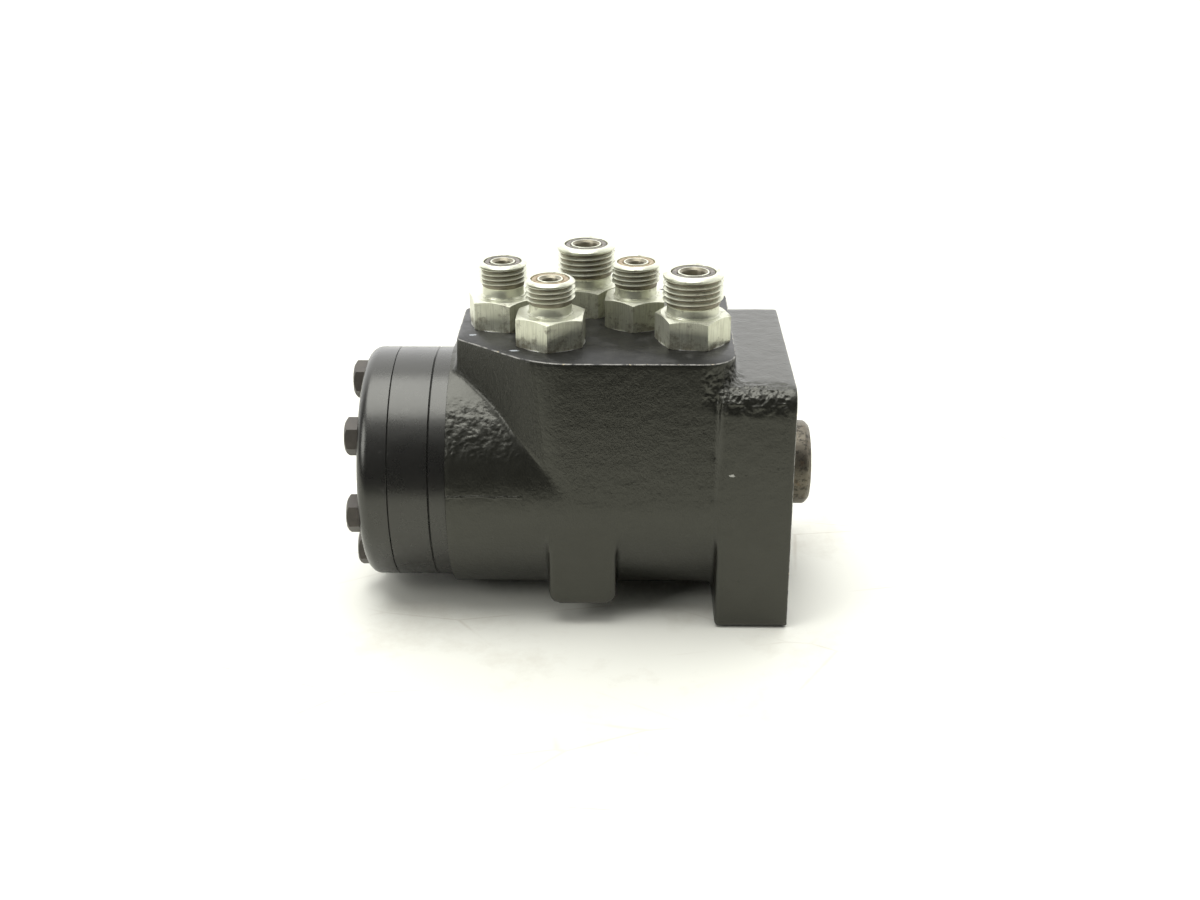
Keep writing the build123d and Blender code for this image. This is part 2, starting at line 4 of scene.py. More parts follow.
import bmesh
import bpy
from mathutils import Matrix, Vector


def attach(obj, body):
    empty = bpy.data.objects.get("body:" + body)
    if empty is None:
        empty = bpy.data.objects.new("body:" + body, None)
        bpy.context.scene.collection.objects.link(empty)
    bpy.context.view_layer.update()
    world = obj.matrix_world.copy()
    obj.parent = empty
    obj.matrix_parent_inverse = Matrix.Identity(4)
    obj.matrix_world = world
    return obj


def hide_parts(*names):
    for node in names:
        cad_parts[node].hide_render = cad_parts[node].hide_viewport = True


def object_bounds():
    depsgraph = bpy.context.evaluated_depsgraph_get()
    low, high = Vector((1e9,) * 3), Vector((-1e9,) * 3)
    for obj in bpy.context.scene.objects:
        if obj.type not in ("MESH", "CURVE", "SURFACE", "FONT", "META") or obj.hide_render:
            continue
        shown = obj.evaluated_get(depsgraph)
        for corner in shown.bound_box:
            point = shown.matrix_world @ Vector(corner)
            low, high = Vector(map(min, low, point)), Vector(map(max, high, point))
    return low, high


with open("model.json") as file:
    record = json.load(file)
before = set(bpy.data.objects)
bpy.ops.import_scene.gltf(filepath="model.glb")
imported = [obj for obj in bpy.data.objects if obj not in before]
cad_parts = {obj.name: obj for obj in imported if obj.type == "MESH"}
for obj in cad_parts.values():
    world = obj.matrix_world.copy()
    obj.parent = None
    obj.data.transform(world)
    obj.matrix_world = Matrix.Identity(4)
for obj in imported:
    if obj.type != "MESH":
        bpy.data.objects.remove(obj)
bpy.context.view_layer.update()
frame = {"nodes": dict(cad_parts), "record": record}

mm = 0.001
print("frame loaded")


def deselectAll():
    if bpy.context.object and bpy.context.object.mode != "OBJECT":
        bpy.ops.object.mode_set(mode="OBJECT")
    bpy.ops.object.select_all(action="DESELECT")


def pick(piece):
    deselectAll()
    piece.select_set(True)
    bpy.context.view_layer.objects.active = piece


def newest(name):
    piece = bpy.context.object
    piece.name = name
    piece.data.name = name
    return piece


def settle(piece):  # place, turn and size go into the mesh
    pick(piece)
    bpy.ops.object.transform_apply(location=True, rotation=True, scale=True)


def turnBy(piece, *angles):  # degrees about X, Y and Z
    piece.rotation_euler = [radians(angle) for angle in angles]
    settle(piece)


def moveTo(piece, place):  # in mm
    piece.location = Vector(place) * mm
    settle(piece)


def addRod(name, radius, start, end, sides):  # a round bar along X, in mm
    deselectAll()
    bpy.ops.mesh.primitive_cylinder_add(
        vertices=sides, radius=radius * mm, depth=abs(end * mm - start * mm),
        location=((start * mm + end * mm) / 2, 0, 0), rotation=(0, pi / 2, 0),
    )
    rod = newest(name)
    settle(rod)
    return rod


def addBlock(name, low, high):
    deselectAll()
    middle = [(a + b) / 2 for a, b in zip(low, high)]
    bpy.ops.mesh.primitive_cube_add(size=1, location=middle)
    block = newest(name)
    block.scale = [b - a for a, b in zip(low, high)]
    settle(block)
    return block


def editMesh(piece, select="VERT"):
    pick(piece)
    bpy.ops.object.mode_set(mode="EDIT")
    bpy.ops.mesh.select_mode(type=select)
    bpy.ops.mesh.select_all(action="DESELECT")
    return bmesh.from_edit_mesh(piece.data)


def editAll(piece):
    editMesh(piece)
    bpy.ops.mesh.select_all(action="SELECT")


def chooseEdges(piece, wanted):
    mesh = editMesh(piece, "EDGE")
    for edge in mesh.edges:
        edge.select = wanted(edge)
    mesh.select_flush_mode()
    bmesh.update_edit_mesh(piece.data)


def chooseFaces(piece, wanted):
    mesh = editMesh(piece, "FACE")
    for face in mesh.faces:
        face.select = wanted(face)
    bmesh.update_edit_mesh(piece.data)


def leave():
    bpy.ops.object.mode_set(mode="OBJECT")


def addModifier(piece, kind, **settings):
    pick(piece)
    modifier = piece.modifiers.new(kind.title(), kind)
    for key, value in settings.items():
        setattr(modifier, key, value)
    bpy.ops.object.modifier_apply(modifier=modifier.name)


def combine(piece, tool, operation):
    addModifier(piece, "BOOLEAN", object=tool, operation=operation, solver="EXACT")
    bpy.data.objects.remove(tool)


def joinAll(pieces, name):
    pick(pieces[0])
    for piece in pieces[1:]:
        piece.select_set(True)
    bpy.ops.object.join()
    return newest(name)


def weld(piece):
    editAll(piece)
    bpy.ops.mesh.remove_doubles(threshold=1e-7)
    leave()


def faceOut(piece):  # merges doubles first, so that the shell is closed
    editAll(piece)
    bpy.ops.mesh.remove_doubles(threshold=1e-6)
    bpy.ops.mesh.normals_make_consistent(inside=False)
    leave()


def smooth(piece, angle=35):
    pick(piece)
    bpy.ops.object.shade_smooth_by_angle(angle=radians(angle))


def dress(piece, *finishes):
    piece.data.materials.clear()
    for finish in finishes:
        piece.data.materials.append(finish)


def fit(piece, body, slot, *nodes):
    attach(piece, body)
    if nodes:
        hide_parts(*nodes)


class Wire:  # one value in a node tree, so that maths reads as maths
    def __init__(self, sheet, socket):
        self.sheet = sheet
        self.socket = socket

    def __add__(self, other):
        return self.sheet.maths("ADD", self, other)

    def __radd__(self, other):
        return self.sheet.maths("ADD", other, self)

    def __sub__(self, other):
        return self.sheet.maths("SUBTRACT", self, other)

    def __rsub__(self, other):
        return self.sheet.maths("SUBTRACT", other, self)

    def __mul__(self, other):
        return self.sheet.maths("MULTIPLY", self, other)

    def __rmul__(self, other):
        return self.sheet.maths("MULTIPLY", other, self)

    def __truediv__(self, other):
        return self.sheet.maths("DIVIDE", self, other)

    def __pow__(self, other):
        return self.sheet.maths("POWER", self, other)


class NodeSheet:  # a node tree, and the one way to add a node to it
    def __init__(self, tree):
        self.tree = tree

    def node(self, kind, settings=None, sockets=None, output=0):
        made = self.tree.nodes.new(kind)
        for key, value in (settings or {}).items():
            if key == "stops":
                self.setStops(made.color_ramp, value)
            else:
                setattr(made, key, value)
        for key, value in (sockets or {}).items():
            self.plug(made.inputs[key], value)
        return Wire(self, made.outputs[output])

    def setStops(self, ramp, stops):
        while len(ramp.elements) < len(stops):
            ramp.elements.new(1)
        for element, (position, level) in zip(ramp.elements, stops):
            element.position = position
            element.color = (level, level, level, 1)

    def plug(self, socket, value):
        if isinstance(value, Wire):
            self.tree.links.new(value.socket, socket)
        elif isinstance(value, tuple) and len(value) == 3 and socket.type == "RGBA":
            socket.default_value = (*value, 1)
        else:
            socket.default_value = value

    def maths(self, operation, first, second):
        return self.node("ShaderNodeMath", {"operation": operation}, {0: first, 1: second})


class Finish(NodeSheet):  # one material and its patterns, with sizes in mm
    def __init__(self, name):
        self.material = bpy.data.materials.new(name)
        self.material.use_nodes = True
        super().__init__(self.material.node_tree)
        self.shader = self.tree.nodes["Principled BSDF"]
        self.place = self.node("ShaderNodeTexCoord", output="Object")

    def noise(self, size, detail=3, roughness=0.55, place=None):
        sockets = {"Scale": 1 / (size * mm), "Detail": detail, "Roughness": roughness}
        sockets["Vector"] = place or self.place
        return self.node("ShaderNodeTexNoise", None, sockets)

    def spots(self, size):  # distance to the nearest of scattered points
        sockets = {"Scale": 1 / (size * mm), "Vector": self.place}
        return self.node("ShaderNodeTexVoronoi", {"feature": "F1"}, sockets, "Distance")

    def ramp(self, value, *stops):
        return self.node("ShaderNodeValToRGB", {"stops": stops}, {"Fac": value})

    def blend(self, share, first, second):
        sockets = {0: share, 6: first, 7: second}
        return self.node("ShaderNodeMix", {"data_type": "RGBA"}, sockets, 2)

    def stretched(self, scale):  # coordinates scaled along each axis
        sockets = {"Vector": self.place, "Scale": scale}
        return self.node("ShaderNodeMapping", None, sockets)

    def split(self, axis):
        return self.node("ShaderNodeSeparateXYZ", None, {0: self.place}, axis)

    def fromAxis(self):  # distance from the shaft's axis
        return (self.split("Y") ** 2 + self.split("Z") ** 2) ** 0.5

    def chipAt(self, place, radius):  # 1 about a place, 0 beyond the radius
        longer = (0.45, 1, 1)  # a chip is drawn out along X
        point = tuple(c * mm * k for c, k in zip(place, longer))
        sockets = {0: self.stretched(longer), 1: point}
        away = self.node("ShaderNodeVectorMath", {"operation": "DISTANCE"}, sockets, "Value")
        ragged = away / (radius * mm) + self.noise(radius) * 1.4 - 0.7
        return self.ramp(ragged, (0.5, 1), (0.8, 0))

    def bump(self, height, depth):  # depth for a height from 0 to 1
        sockets = {"Height": height, "Distance": depth * mm, "Strength": 1}
        return self.node("ShaderNodeBump", None, sockets)

    def give(self, **values):
        names = {
            "colour": "Base Color",
            "rough": "Roughness",
            "metal": "Metallic",
            "normal": "Normal",
            "specular": "Specular IOR Level",
            "tint": "Specular Tint",
        }
        for key, value in values.items():
            self.plug(self.shader.inputs[names[key]], value)
        return self.material


view = {
    "place": (-46.5, -437.5, 193.7),  # mm
    "target": (-55.75, 0, 3.53),
    "roll": -0.2,
    "lens": 46.5,
}


def addCamera():
    deselectAll()
    place = Vector(view["place"]) * mm
    look = Vector(view["target"]) * mm - place
    turn = look.to_track_quat("-Z", "Y").to_euler()
    bpy.ops.object.camera_add(location=place, rotation=turn)
    camera = bpy.context.object
    camera.rotation_euler.rotate_axis("Z", radians(view["roll"]))
    camera.data.lens = view["lens"]
    camera.data.clip_start = 0.01
    bpy.context.scene.camera = camera


tableTop = {
    "low": (-1.6, -0.24),  # m
    "high": (1.6, 1.8),
    "thick": 0.02,
    "colour": (0.77, 0.77, 0.69),
    "grime": (0.42, 0.37, 0.27),
    "grimeShare": 0.3,
}


def makeWhiteTable():
    paint = Finish("whiteTable")
    sockets = {"Scale": 14, "Vector": paint.stretched((1, 2.2, 1))}
    settings = {"feature": "DISTANCE_TO_EDGE"}
    crack = paint.node("ShaderNodeTexVoronoi", settings, sockets, "Distance")
    # scratches along the edges of large cells, broken up by a slow noise
    line = paint.ramp(crack, (0.0, 1), (0.012, 0))
    line *= paint.ramp(paint.noise(45, 4), (0.45, 0), (0.56, 1))
    grime = paint.ramp(paint.noise(30, 6, 0.7), (0.52, 0), (0.75, 1)) + line
    share = grime * tableTop["grimeShare"]
    tone = paint.blend(share, tableTop["colour"], tableTop["grime"])
    return paint.give(colour=tone, rough=0.6)


def addFloor():
    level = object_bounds()[0][2]
    low = (*tableTop["low"], level - tableTop["thick"])
    floor = addBlock("tableTop", low, (*tableTop["high"], level))
    dress(floor, makeWhiteTable())


lampTarget = (-0.055, 0, 0)  # the middle of the housing, in m
lamps = {
    "overhead": {"kind": "SUN", "place": (-0.2, 0, 1), "power": 2.4, "angle": 47},
    "leftFront": {"kind": "AREA", "place": (-0.8, -0.5, 0.5), "power": 3.5, "size": 0.5},
    "right": {"kind": "AREA", "place": (0.8, -0.1, 0.5), "power": 1.5, "size": 0.5},
}


def addLamps():
    for name, lamp in lamps.items():
        deselectAll()
        place = Vector(lamp["place"])
        turn = (Vector(lampTarget) - place).to_track_quat("-Z", "Y").to_euler()
        bpy.ops.object.light_add(type=lamp["kind"], location=place, rotation=turn)
        light = bpy.context.object
        light.name = name
        light.data.energy = lamp["power"]
        if lamp["kind"] == "SUN":
            light.data.angle = radians(lamp["angle"])
        else:
            light.data.size = lamp["size"]


# the room is dark in front of the table, and brighter behind it and overhead
room = {
    "dark": 0.055,
    "back": {"axis": "Y", "from": 0.0, "to": 0.6, "light": 1.85},
    "high": {"axis": "Z", "from": 0.6, "to": 0.82, "light": 0.6},
    "seen": 0.97,
}


def addWorld():
    world = bpy.data.worlds.new("studio")
    bpy.context.scene.world = world
    world.use_nodes = True
    sky = NodeSheet(world.node_tree)
    direction = sky.node("ShaderNodeTexCoord", output="Generated")

    def glow(side):  # rises from nothing to the side's light along its axis
        along = sky.node("ShaderNodeSeparateXYZ", None, {0: direction}, side["axis"])
        sockets = {0: along, 1: side["from"], 2: side["to"], 3: 0.0, 4: side["light"]}
        return sky.node("ShaderNodeMapRange", {"interpolation_type": "SMOOTHSTEP"}, sockets)

    lit = sky.maths("MAXIMUM", glow(room["back"]), glow(room["high"]))
    lit = sky.maths("MAXIMUM", lit, room["dark"])
    straight = sky.node("ShaderNodeLightPath", output="Is Camera Ray")
    through = sky.node("ShaderNodeLightPath", output="Is Transmission Ray")
    sockets = {0: sky.maths("MAXIMUM", straight, through), 2: lit, 3: room["seen"]}
    mix = sky.node("ShaderNodeMix", {"data_type": "FLOAT"}, sockets)
    background = world.node_tree.nodes["Background"]
    sky.plug(background.inputs["Color"], mix)
    sky.plug(background.inputs["Strength"], 1)


bpy.context.scene.view_settings.view_transform = "Standard"
addCamera()
addFloor()
addLamps()
addWorld()
print("camera, floor and light placed")

# the slanted face beside the barrel: a point on it and its outward direction
slant = {"x": -97, "y": -14, "outX": 0.652, "outY": 0.758}


def makeCastBlack():
    paint = Finish("castBlack")
    tone = paint.blend(paint.noise(9), (0.008, 0.008, 0.006), (0.014, 0.014, 0.011))
    chip = paint.chipAt((-17.6, -37.5, 12), 0.5)
    tone = paint.blend(chip * 0.8, tone, (0.6, 0.6, 0.56))
    peel = paint.noise(1.1, 2)
    grain = paint.noise(0.45, 2)
    pits = paint.ramp(paint.spots(2.6), (0.0, 0), (0.13, 1))
    holes = paint.ramp(paint.spots(8), (0.0, 0), (0.07, 1))
    # the slanted face kept the streaks of its mould
    across = (paint.split("X") - slant["x"] * mm) * slant["outX"]
    across += (paint.split("Y") - slant["y"] * mm) * slant["outY"]
    side = across / mm + 0.8
    out = paint.fromAxis() / mm - 37
    onSlant = paint.ramp(side * side * 0.1, (0.2, 1), (0.4, 0))
    onSlant *= paint.ramp(out, (0.2, 0), (0.8, 1))
    streaks = paint.noise(0.7, 4, 0.7, paint.stretched((1, 1, 0.4)))
    # the parting line along the barrel
    seam = paint.split("Z") / mm + paint.noise(6, 5, 0.65) * 3.2 - 6
    onBarrel = paint.ramp(paint.split("X") / mm * -0.01, (0.77, 0), (0.79, 1))
    ridge = paint.ramp(seam * seam, (0.0, 1), (0.2, 0)) * onBarrel
    relief = peel * 0.65 + grain * 0.3 + pits * 0.2 + holes * 0.9
    relief += streaks * onSlant * 2.6 + ridge * 1.1
    return paint.give(
        colour=tone,
        rough=0.25 + paint.noise(4) * 0.14 + onSlant * 0.08,
        normal=paint.bump(relief, 0.14),
        specular=0.7,
        tint=(1, 1, 0.88),
    )


def makeTurnedBlack():
    paint = Finish("turnedBlack")
    tone = paint.blend(paint.noise(14), (0.008, 0.0078, 0.0074), (0.014, 0.0136, 0.0125))
    film = paint.noise(2.5, 2)
    # fine rings where the end face was turned
    sockets = {"W": paint.fromAxis() / (0.35 * mm), "Scale": 1, "Detail": 2}
    rings = paint.node("ShaderNodeTexNoise", {"noise_dimensions": "1D"}, sockets)
    scuff = paint.ramp(paint.noise(3, 5, 0.75), (0.62, 0), (0.72, 1))
    tone = paint.blend(scuff * 0.3, tone, (0.06, 0.06, 0.055))
    return paint.give(
        colour=tone,
        rough=0.22 + paint.noise(6) * 0.12 + scuff * 0.12,
        normal=paint.bump(film + rings * 0.4, 0.03),
        specular=0.75,
        tint=(1, 1, 0.92),
    )


def makeZinc():
    plate = Finish("zincPlate")
    cloud = plate.noise(3.5, 4)
    tone = plate.blend(cloud, (0.54, 0.55, 0.42), (0.78, 0.79, 0.66))
    above = (plate.split("Z") / mm - casting["boss"]["top"]) * 0.1  # cm above the ports
    drawn = plate.noise(0.45, 3, place=plate.stretched((1, 1, 0.07)))
    onHex = plate.ramp(above, (0.82, 1), (0.9, 0))
    lines = plate.ramp(drawn, (0.46, 0), (0.66, 1)) * onHex
    tone = plate.blend(lines * 0.25, tone, (0.17, 0.155, 0.10))
    # grime from the noise, plus painted shade: low is 1 on the boss top and gone 5 mm up, so the
    # foot of the hex comes out darker
    low = plate.ramp(above, (0.0, 1), (0.5, 0))
    grime = plate.ramp(plate.noise(4, 5, 0.7) + low * 0.16, (0.56, 0), (0.72, 1))
    tone = plate.blend(grime * 0.65, tone, (0.13, 0.105, 0.06))
    specks = plate.ramp(plate.spots(1.3), (0.0, 1), (0.16, 0))
    specks *= plate.ramp(plate.noise(6), (0.5, 0), (0.6, 1))
    tone = plate.blend(specks * 0.8, tone, (0.05, 0.045, 0.03))
    return plate.give(
        colour=tone,
        metal=0.7,
        rough=0.27 + cloud * 0.14 + grime * 0.2,
        normal=plate.bump(drawn + plate.noise(0.4, 2) * 0.4, 0.03),
    )


def makeOiledSteel():
    steel = Finish("oiledSteel")
    film = steel.noise(5, 4)
    tone = steel.blend(film, (0.105, 0.094, 0.072), (0.21, 0.19, 0.148))
    blots = steel.ramp(steel.noise(1.6, 4, 0.7), (0.5, 0), (0.6, 1))
    tone = steel.blend(blots * 0.6, tone, (0.035, 0.033, 0.03))
    rust = steel.ramp(steel.noise(3, 4, 0.7), (0.55, 0), (0.7, 1))
    tone = steel.blend(rust * 0.5, tone, (0.15, 0.09, 0.05))
    worn = steel.ramp(steel.split("X") / mm * 0.1, (0.83, 0), (0.87, 1))
    tone = steel.blend(worn * 0.6, tone, (0.30, 0.26, 0.20))
    lines = steel.noise(0.6, 2, place=steel.stretched((6, 0.4, 0.4)))
    return steel.give(
        colour=tone,
        metal=0.85,
        rough=0.34 + film * 0.2 + blots * 0.1,
        normal=steel.bump(lines + blots, 0.02),
    )


def makeBrightSteel():
    steel = Finish("brightSteel")
    film = steel.noise(5, 4)
    tone = steel.blend(film, (0.42, 0.42, 0.40), (0.58, 0.58, 0.56))
    return steel.give(colour=tone, metal=0.95, rough=0.26 + film * 0.15)


def makeDarkBolt():
    steel = Finish("darkBolt")
    cloud = steel.noise(2.2, 4)
    tone = steel.blend(cloud, (0.045, 0.042, 0.037), (0.11, 0.097, 0.08))
    dents = steel.bump(cloud, 0.05)
    return steel.give(colour=tone, metal=0.25, rough=0.4 + cloud * 0.2, normal=dents)


def makeWornEdge():
    steel = Finish("wornEdge")
    wear = steel.ramp(steel.noise(2.5, 4, 0.7), (0.4, 0), (0.56, 1))
    tone = steel.blend(wear, (0.02, 0.02, 0.018), (0.24, 0.235, 0.21))
    chips = steel.ramp(steel.noise(1.4, 3), (0.64, 0), (0.68, 1))
    tone = steel.blend(chips, tone, (0.48, 0.42, 0.28))
    return steel.give(colour=tone, metal=0.2, rough=0.45)


def makeRubber(name, clean, dusty):
    rubber = Finish(name)
    dust = rubber.noise(2, 4, 0.65)
    tone = rubber.blend(rubber.ramp(dust, (0.35, 0), (0.65, 1)), clean, dusty)
    return rubber.give(colour=tone, rough=0.5 + dust * 0.2)


def makeMachinedTop():
    paint = Finish("machinedTop")
    tone = paint.blend(paint.noise(12), (0.009, 0.009, 0.008), (0.019, 0.019, 0.016))
    dust = paint.ramp(paint.spots(1.3), (0.0, 1), (0.12, 0))
    dust *= paint.ramp(paint.noise(9, 3), (0.45, 0), (0.6, 1))
    tone = paint.blend(dust * 0.7, tone, (0.34, 0.33, 0.28))
    film = paint.ramp(paint.noise(7, 5, 0.7), (0.5, 0), (0.75, 1))
    tone = paint.blend(film * 0.5, tone, (0.09, 0.09, 0.082))
    chips = paint.chipAt((-92.4, -10.5, 44.5), 0.7) + paint.chipAt((-79.4, -23.9, 44.5), 0.8)
    tone = paint.blend(chips * 0.8, tone, (0.5, 0.54, 0.56))
    return paint.give(
        colour=tone,
        rough=0.3 + paint.noise(5) * 0.2 + film * 0.2,
        normal=paint.bump(paint.noise(1.6, 3), 0.05),
        specular=0.32,
    )


# painted shade: a darker copy of the zinc plate, for faces that look down or sit in hollows
def makeZincPaintedShade():
    plate = Finish("zincPaintedShade")
    tone = plate.blend(plate.noise(2.5, 4), (0.13, 0.11, 0.075), (0.34, 0.32, 0.24))
    return plate.give(colour=tone, metal=0.7, rough=0.4)


casting = {
    "voxel": 0.8,
    "softness": 6,
    "finishing": 2,
    "spare": 0.8,  # left on the blanks and cut off with the machined faces
    "flange": {"thickness": 21.5, "half": 37.5, "corner": 1.8, "wornCorner": 6},
    "barrel": {"radius": 37, "rear": -99.5},
    "boss": {
        "top": 44.5,
        "corner": 9,
        "sides": [  # a point on each wall, its outward direction, its draft
            ((-97, 0), (-1, 0), 2),
            ((-97, -14), (-21, -24.4), 2),
            ((-97, 14), (-21, 24.4), 2),
            ((0, -35), (0, -1), 2.7),
            ((0, 35), (0, 1), 2.7),
            ((-16.7, 0), (1, 0), 2),
        ],
    },
    "lug": {"low": (-70.2, -36.6, -30.4), "high": (-50.4, 0, 0), "corner": 3},
    "bore": [  # from, to and radius
        (-4.5, 0.5, 16.5),
        (-8.2, -4, 13.1),
        (-12.2, -8, 15),
        (-101, -12, 16.02),
    ],
    "mountHoles": {"at": 29.2, "radius": 3.97, "depth": 16, "lead": 4.5},
    "ports": {"spare": 1.3, "floor": 32, "backFloor": 24, "threadEnd": 33, "mouthEnd": 42.3},
    "wornEdge": 0.24,
}
skin = {  # where the casting is rougher: low end, high end and fade along each axis
    "patch": {"x": (-98, -74, 2), "z": (17, 26.5, 4)},
    "rim": {"x": (-21, -3, 1.5), "y": (-38, -31.5, 2.5), "z": (32.5, 38, 2.5)},
    "nook": {"x": (-24, -16, 3), "y": (-38, -24, 4), "z": (34, 42, 2)},
}

castBlack = makeCastBlack()
turnedBlack = makeTurnedBlack()
zincPlate = makeZinc()
oiledSteel = makeOiledSteel()
brightSteel = makeBrightSteel()
darkBolt = makeDarkBolt()
wornEdge = makeWornEdge()
machinedTop = makeMachinedTop()
zincPaintedShade = makeZincPaintedShade()
sealRubber = makeRubber("sealRubber", (0.03, 0.028, 0.025), (0.12, 0.11, 0.095))
# dust, and painted sheen: the light grey also stands in for the bright room reflected on the seal
# rings
dustAndSheenRubber = makeRubber("dustAndSheenRubber", (0.09, 0.082, 0.072), (0.26, 0.235, 0.205))
stainedRubber = makeRubber("stainedRubber", (0.24, 0.17, 0.09), (0.42, 0.35, 0.24))
slotFinish = {
    "cast_black": castBlack,
    "machined_black": turnedBlack,
    "black_bolt": darkBolt,
    "zinc_plate": zincPlate,
    "oiled_steel": oiledSteel,
    "bright_steel": brightSteel,
    "seal_rubber": sealRubber,
}
for part in frame["record"]["subparts"]:
    dress(frame["nodes"][part["node"]], slotFinish[part["material_slot"]])
print("finishes made")


def addProfile(name, points):  # an open string of points in the XZ plane, in mm
    deselectAll()
    bpy.ops.mesh.primitive_plane_add(size=0.001)
    profile = newest(name)
    editAll(profile)
    bpy.ops.mesh.merge(type="CENTER")
    bpy.ops.transform.translate(value=(points[0][0] * mm, 0, points[0][1] * mm))
    for (r0, z0), (r1, z1) in zip(points, points[1:]):
        step = ((r1 - r0) * mm, 0, (z1 - z0) * mm)
        bpy.ops.mesh.extrude_region_move(TRANSFORM_OT_translate={"value": step})
    leave()
    return profile


def addTurned(name, points, place=(0, 0, 0), lying=False, steps=96):
    turned = addProfile(name, points)
    editAll(turned)
    bpy.ops.mesh.spin(steps=steps, angle=2 * pi, center=(0, 0, 0), axis=(0, 0, 1))
    leave()
    faceOut(turned)
    turned.location = Vector(place) * mm
    if lying:  # the profile's height then runs along +X
        turned.rotation_euler = (0, pi / 2, 0)
    settle(turned)
    return turned


def bevelEdges(piece, wanted, width, segments=6):
    chooseEdges(piece, wanted)
    bpy.ops.mesh.bevel(offset=width * mm, segments=segments, affect="EDGES")
    leave()


def cutPlane(piece, point, outward):
    editAll(piece)
    bpy.ops.mesh.bisect(
        plane_co=Vector(point) * mm, plane_no=outward, use_fill=True, clear_outer=True
    )
    leave()


def runsAlong(edge, axis):
    first, second = (vert.co for vert in edge.verts)
    return abs((second - first).normalized()[axis]) > 0.98


def midPoint(edge):
    return (edge.verts[0].co + edge.verts[1].co) / 2


def addFlangeBlank():
    flange = casting["flange"]
    half = flange["half"]
    low = Vector((-flange["thickness"], -half, -half)) * mm
    high = Vector((casting["spare"], half, half)) * mm
    block = addBlock("flangeBlank", low, high)

    def wornTop(edge):
        return runsAlong(edge, 0) and midPoint(edge).y < 0 and midPoint(edge).z > 0

    bevelEdges(block, lambda edge: runsAlong(edge, 0) and not wornTop(edge), flange["corner"])
    bevelEdges(block, wornTop, flange["wornCorner"])
    return block


def addBarrelBlank():
    barrel = casting["barrel"]
    return addRod("barrelBlank", barrel["radius"], barrel["rear"] - casting["spare"], -10, 192)


def addBossBlank():
    boss = casting["boss"]
    top = boss["top"]
    low = Vector((-101, -39, 0)) * mm
    high = Vector((-12, 39, top + casting["spare"])) * mm
    block = addBlock("bossBlank", low, high)
    for (x, y), (nx, ny), slope in boss["sides"]:
        run = hypot(nx, ny)
        draft = radians(slope)
        outward = (nx / run * cos(draft), ny / run * cos(draft), sin(draft))
        cutPlane(block, (x, y, top), outward)

    def rounded(edge):  # the slanted walls keep their corners
        return runsAlong(edge, 2) and midPoint(edge).x > -80 * mm

    bevelEdges(block, rounded, boss["corner"], 10)
    return block


def addLugBlank():
    lug = casting["lug"]
    block = addBlock("lugBlank", Vector(lug["low"]) * mm, Vector(lug["high"]) * mm)
    lowest = lug["low"][2] * mm

    def bottom(edge):
        return runsAlong(edge, 1) and abs(edge.verts[0].co.z - lowest) < 1e-6

    bevelEdges(block, bottom, lug["corner"])
    return block


def addMountHoles():
    holes = casting["mountHoles"]
    reach, lead, radius = holes["depth"], holes["lead"], holes["radius"]
    steps = [(0, -reach - 1.5), (radius, -reach), (radius, radius - lead)]
    steps += [(lead + 0.5, 0.5), (0, 0.5)]
    rods = []
    for y in (-holes["at"], holes["at"]):
        for z in (-holes["at"], holes["at"]):
            rods.append(addTurned("cutter", steps, (0, y, z), lying=True, steps=32))
    return rods


def addPorts():
    ports = casting["ports"]
    thread, mouth = ports["threadEnd"], ports["mouthEnd"]
    above = casting["boss"]["top"] + 0.5
    rods = []
    for name, adapter in adapters.items():
        x, y = adapter["place"]
        stud = adapterSizes[adapter["size"]]["stud"]
        wide = stud + ports["spare"]
        floor = ports["backFloor"] if name == "backLarge" else ports["floor"]
        steps = [(0, floor), (stud - 1.5, floor), (stud - 1.5, thread), (stud + 0.05, thread)]
        steps += [(stud + 0.05, mouth), (wide, mouth), (wide, above), (0, above)]
        rods.append(addTurned("cutter", steps, (x, y, 0), steps=32))
    return rods


def addCutters():
    bore, *others = [
        addRod("cutter", radius, low, high, 96) for low, high, radius in casting["bore"]
    ]
    for other in others:
        combine(bore, other, "UNION")
    return joinAll([bore] + addMountHoles() + addPorts(), "cutters")


def nearness(value, low, high, soft):  # 1 between low and high, fading to 0 over soft
    return max(0, min(1, (value - low) / soft + 1, (high - value) / soft + 1))


def within(place, region):
    share = 1
    for value, axis in zip(place, "xyz"):
        if axis in region:
            share *= nearness(value / mm, *region[axis])
    return share


def anywhere(place):
    return 1.0


def roughPatch(place):
    x, y, z = (c / mm for c in place)
    beyond = (x - slant["x"]) * slant["outX"] + (y - slant["y"]) * slant["outY"]
    onBarrel = hypot(y, z) < 37.8 and beyond < -2.2 and y < -20
    return within(place, skin["patch"]) * onBarrel


def lumpyEdge(place):
    return max(within(place, skin["rim"]), within(place, skin["nook"]))


def refine(piece, where):
    chooseFaces(piece, lambda face: where(face.calc_center_median()) > 0.05)
    bpy.ops.mesh.subdivide(number_cuts=2)
    leave()


def roughen(piece, where, size, height, level):
    group = piece.vertex_groups.new(name=where.__name__)
    for vert in piece.data.vertices:
        share = where(vert.co)
        if share > 0:
            group.add([vert.index], share, "REPLACE")
    lumps = bpy.data.textures.new(where.__name__, "CLOUDS")
    lumps.noise_scale = size * mm
    addModifier(
        piece, "DISPLACE", texture=lumps, strength=height * mm,
        mid_level=level, vertex_group=group.name,
    )
    piece.vertex_groups.clear()


def markFaces(piece, wanted, slotIndex):
    chooseFaces(piece, wanted)
    piece.active_material_index = slotIndex
    bpy.ops.object.material_slot_assign()
    leave()


